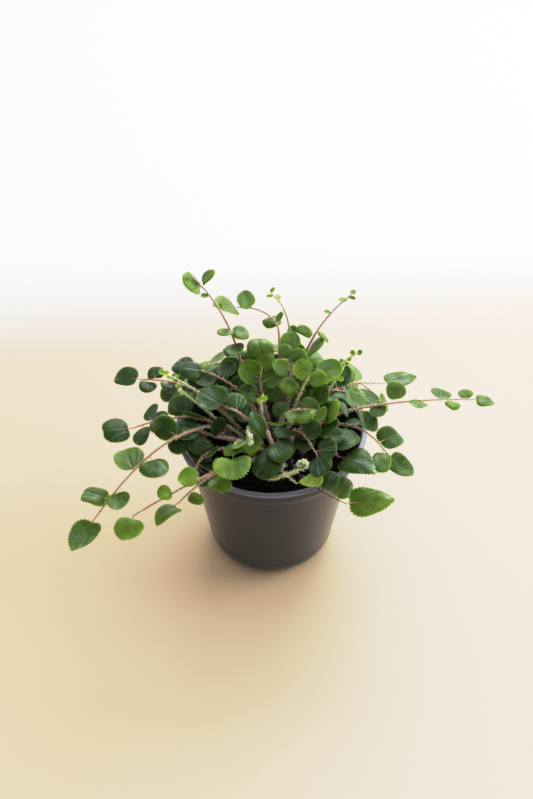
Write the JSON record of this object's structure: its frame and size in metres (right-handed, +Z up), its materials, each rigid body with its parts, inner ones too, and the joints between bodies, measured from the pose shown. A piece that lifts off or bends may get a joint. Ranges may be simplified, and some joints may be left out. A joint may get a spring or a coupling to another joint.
{
  "type": "potted button fern",
  "caption": "Button fern with round leaflets on arching wiry fronds, rooted in dark soil in a tapered grey plastic nursery pot.",
  "frame": {"origin": "middle of the pot's underside, on the surface that the pot stands on", "axes": "+Z up along the pot's axis, -Y towards the viewer of the picture, +X to that viewer's right"},
  "size_m": [0.223, 0.1594, 0.1739],
  "materials": {
    "pot_plastic": "satin",
    "potting_soil": "matte",
    "leaves_mature": "satin",
    "leaves_green": "satin",
    "leaves_young": "satin"
  },
  "bodies": {
    "root": {"crozier_front_left": "leaves_young", "crozier_front_right": "leaves_young", "frond_back_1": "leaves_mature", "frond_back_10": "leaves_mature", "frond_back_2": "leaves_green", "frond_back_3": "leaves_mature", "frond_back_4": "leaves_mature", "frond_back_5": "leaves_green", "frond_back_6": "leaves_mature", "frond_back_7": "leaves_mature", "frond_back_8": "leaves_green", "frond_back_9": "leaves_mature", "frond_crown_back_left": "leaves_mature", "frond_crown_back_right": "leaves_green", "frond_crown_left": "leaves_green", "frond_crown_middle": "leaves_green", "frond_crown_right": "leaves_young", "frond_front_bright": "leaves_young", "frond_front_inner": "leaves_mature", "frond_front_left_long": "leaves_green", "frond_front_left_low": "leaves_green", "frond_front_left_short": "leaves_green", "frond_front_middle": "leaves_mature", "frond_front_pale": "leaves_young", "frond_front_right": "leaves_green", "frond_front_side": "leaves_mature", "frond_left_back": "leaves_mature", "frond_left_front": "leaves_mature", "frond_left_long": "leaves_mature", "frond_left_middle": "leaves_mature", "frond_left_tip_lower": "leaves_young", "frond_left_tip_upper": "leaves_young", "frond_left_upper": "leaves_mature", "frond_middle": "leaves_green", "frond_middle_left": "leaves_mature", "frond_middle_tip": "leaves_young", "frond_right_back": "leaves_green", "frond_right_front": "leaves_green", "frond_right_long": "leaves_green", "frond_tip_right_lower": "leaves_young", "frond_tip_right_upper": "leaves_young", "frond_top_left_back": "leaves_green", "frond_top_left_tall": "leaves_green", "frond_top_right_tall": "leaves_green", "frond_top_thin": "leaves_young", "pot": "pot_plastic", "soil": "potting_soil"}
  },
  "joints": []
}
